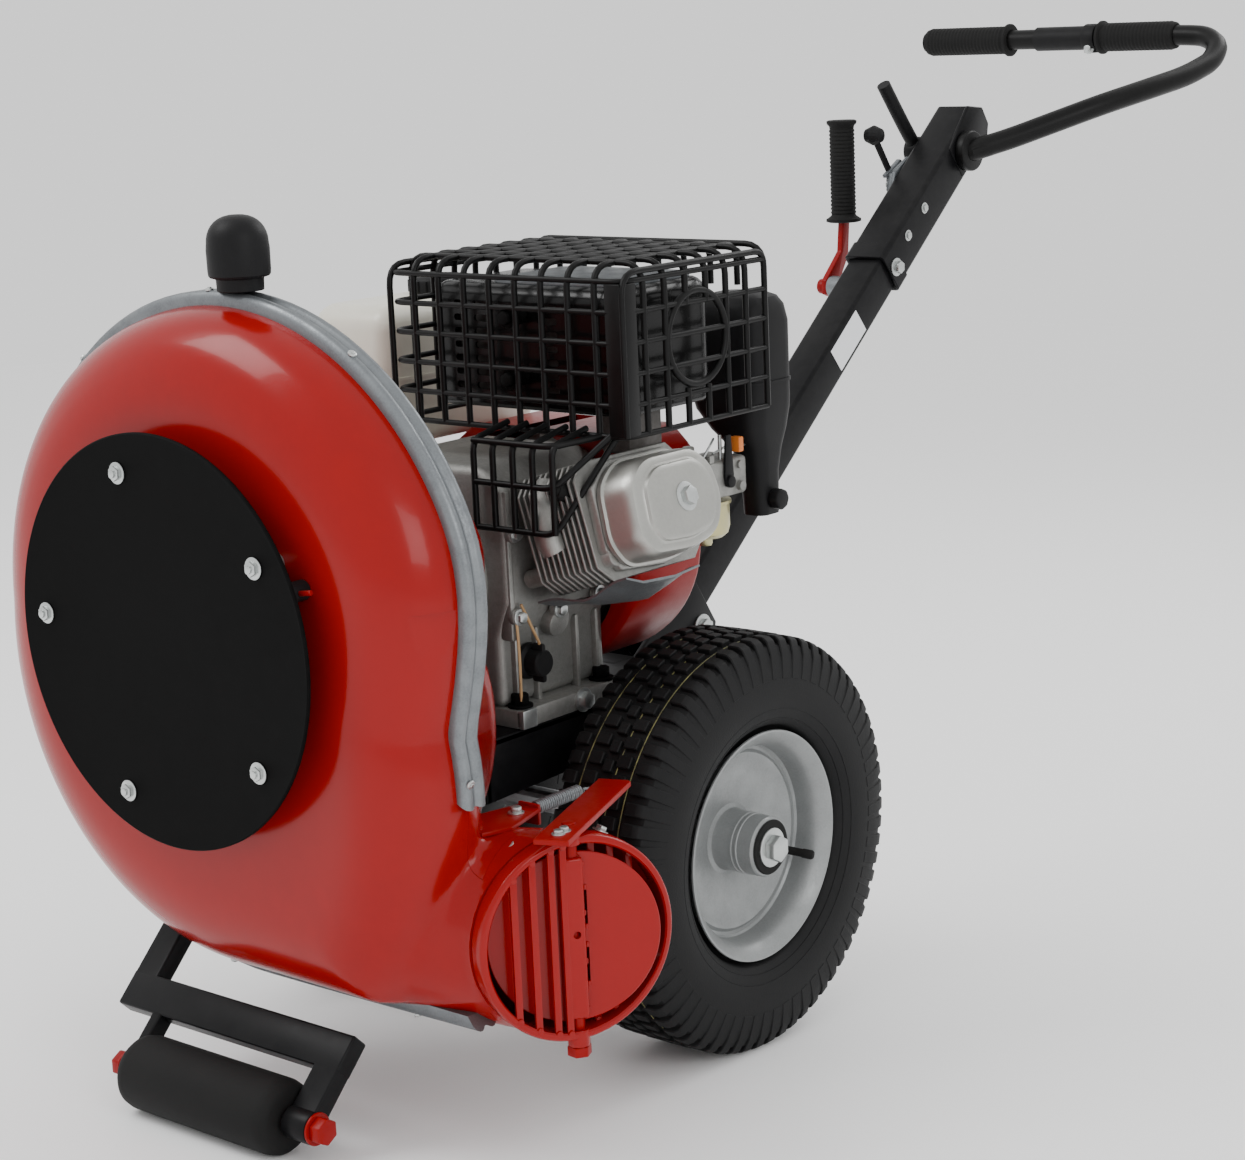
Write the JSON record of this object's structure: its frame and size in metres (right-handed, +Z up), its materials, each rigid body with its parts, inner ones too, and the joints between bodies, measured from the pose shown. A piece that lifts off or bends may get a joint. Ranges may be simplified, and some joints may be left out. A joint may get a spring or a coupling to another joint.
{
  "type": "walk behind leaf blower",
  "caption": "Walk behind leaf blower with a round scroll housing, barred side outlet with shut-off flap, horizontal shaft engine, pneumatic wheels, front roller and adjustable handlebar.",
  "frame": {"origin": "centre of the bounding box on the ground", "axes": "+Z up, +Y to the rear towards the handlebar, +X to the outlet side"},
  "size_m": [0.6644, 1.5922, 1.0422],
  "materials": {
    "red_paint": "gloss signal red paint on steel",
    "black_paint": "semi gloss black paint on steel",
    "black_plastic": "matt black moulding",
    "rubber": "matt black rubber",
    "tyre": "matt black tyre rubber",
    "zinc": "zinc plated steel",
    "silver_paint": "silver paint on steel",
    "cast_aluminium": "as cast aluminium",
    "steel": "turned steel",
    "cream_plastic": "cream tank moulding"
  },
  "bodies": {
    "frame": {"fan_housing_front": "red_paint", "fan_housing_back": "red_paint", "outlet_grille": "red_paint", "flap_bracket": "red_paint", "fan_shroud": "red_paint", "recoil_cover": "red_paint", "roller_axle": "red_paint", "muffler": "black_paint", "muffler_guard": "black_paint", "deck": "black_paint", "column_lower": "black_paint", "roller_fork": "black_paint", "intake_cover": "black_plastic", "lifting_knob": "black_plastic", "spark_plug_cap": "black_plastic", "air_cleaner": "black_plastic", "housing_rim_trim": "zinc", "intake_bolt_1": "zinc", "intake_bolt_2": "zinc", "intake_bolt_3": "zinc", "intake_bolt_4": "zinc", "intake_bolt_5": "zinc", "flap_spring": "zinc", "wheel_nut_left": "zinc", "wheel_nut_right": "zinc", "crankcase": "cast_aluminium", "crankcase_cover": "cast_aluminium", "cylinder": "cast_aluminium", "rocker_cover": "cast_aluminium", "carburettor": "cast_aluminium", "axle": "steel", "fuel_tank": "cream_plastic"},
    "wheel_left": {"tyre_left": "tyre", "rim_left": "silver_paint"},
    "wheel_right": {"tyre_right": "tyre", "rim_right": "silver_paint"},
    "roller_body": {"roller": "rubber"},
    "rotor": {"impeller": "black_paint", "impeller_bolt": "zinc", "crankshaft": "steel", "flywheel": "cast_aluminium"},
    "flap": {"flap_rod": "red_paint", "outlet_flap": "red_paint", "flap_arm": "red_paint"},
    "column_top": {"column_upper": "black_paint", "throttle_bracket": "zinc", "flap_lever_bracket": "zinc"},
    "flap_lever_body": {"flap_lever": "red_paint", "flap_lever_grip": "rubber"},
    "throttle_lever_body": {"throttle_lever": "black_plastic"},
    "clamp_lever_body": {"clamp_lever": "black_plastic"},
    "handlebar_body": {"handlebar": "black_paint", "grip_left": "rubber", "grip_right": "rubber"},
    "fuel_cap_body": {"fuel_cap": "black_plastic"},
    "recoil_grip_body": {"recoil_grip": "black_plastic"},
    "dipstick_body": {"dipstick": "black_plastic"},
    "engine_switch_body": {"engine_switch": "red_paint"},
    "choke_lever_body": {"choke_lever": "black_plastic"}
  },
  "joints": [
    {"name": "wheel_left_spin", "type": "hinge", "parent": "frame", "child": "wheel_left", "pos_m": [-0.2421, -0.24318, 0.20795], "axis": [1, 0, 0], "continuous": true},
    {"name": "wheel_right_spin", "type": "hinge", "parent": "frame", "child": "wheel_right", "pos_m": [0.1779, -0.24318, 0.20795], "axis": [1, 0, 0], "continuous": true},
    {"name": "roller_spin", "type": "hinge", "parent": "frame", "child": "roller_body", "pos_m": [-0.0261, -0.73579, 0.03492], "axis": [1, 0, 0], "continuous": true},
    {"name": "rotor_spin", "type": "hinge", "parent": "frame", "child": "rotor", "pos_m": [-0.0321, -0.56127, 0.47045], "axis": [0, 0.9978, 0.0663], "continuous": true},
    {"name": "flap_hinge", "type": "hinge", "parent": "frame", "child": "flap", "pos_m": [0.286, -0.59555, 0.21161], "axis": [0, -0.0663, 0.9978], "range_deg": [-45, 11]},
    {"name": "column_slide", "type": "slide", "parent": "frame", "child": "column_top", "axis": [0, 0.7337, 0.6794], "range_m": [0, 0.06]},
    {"name": "flap_lever_pivot", "type": "hinge", "parent": "column_top", "child": "flap_lever_body", "pos_m": [-0.1141, 0.34032, 0.71774], "axis": [1, 0, 0], "range_deg": [-30, 7.33]},
    {"name": "throttle_pivot", "type": "hinge", "parent": "column_top", "child": "throttle_lever_body", "pos_m": [-0.0721, 0.41618, 0.84305], "axis": [1, 0, 0], "range_deg": [-25, 15]},
    {"name": "clamp_lever_turn", "type": "hinge", "parent": "column_top", "child": "clamp_lever_body", "pos_m": [-0.0721, 0.46595, 0.87842], "axis": [1, 0, 0], "range_deg": [-60, 0]},
    {"name": "handlebar_tilt", "type": "hinge", "parent": "column_top", "child": "handlebar_body", "pos_m": [0.0009, 0.46595, 0.87842], "axis": [1, 0, 0], "range_deg": [-20, 15]},
    {"name": "fuel_cap_turn", "type": "hinge", "parent": "frame", "child": "fuel_cap_body", "pos_m": [-0.1871, -0.25808, 0.73412], "axis": [0, -0.0663, 0.9978], "range_deg": [0, 90]},
    {"name": "recoil_pull", "type": "slide", "parent": "frame", "child": "recoil_grip_body", "axis": [0, 0.9978, 0.0663], "range_m": [0, 0.4], "stiffness_N_per_m": 40, "springref_m": -0.25},
    {"name": "dipstick_pull", "type": "slide", "parent": "frame", "child": "dipstick_body", "axis": [1, 0, 0], "range_m": [0, 0.025]},
    {"name": "engine_switch_turn", "type": "hinge", "parent": "frame", "child": "engine_switch_body", "pos_m": [-0.1501, -0.18775, 0.55038], "axis": [0, 0.9978, 0.0663], "range_deg": [0, 45]},
    {"name": "choke_turn", "type": "hinge", "parent": "frame", "child": "choke_lever_body", "pos_m": [0.1659, -0.22147, 0.56016], "axis": [1, 0, 0], "range_deg": [-10, 35]}
  ],
  "couplings": [
    {"joint": "flap_hinge", "follows": "flap_lever_pivot", "ratio": 1.5}
  ]
}
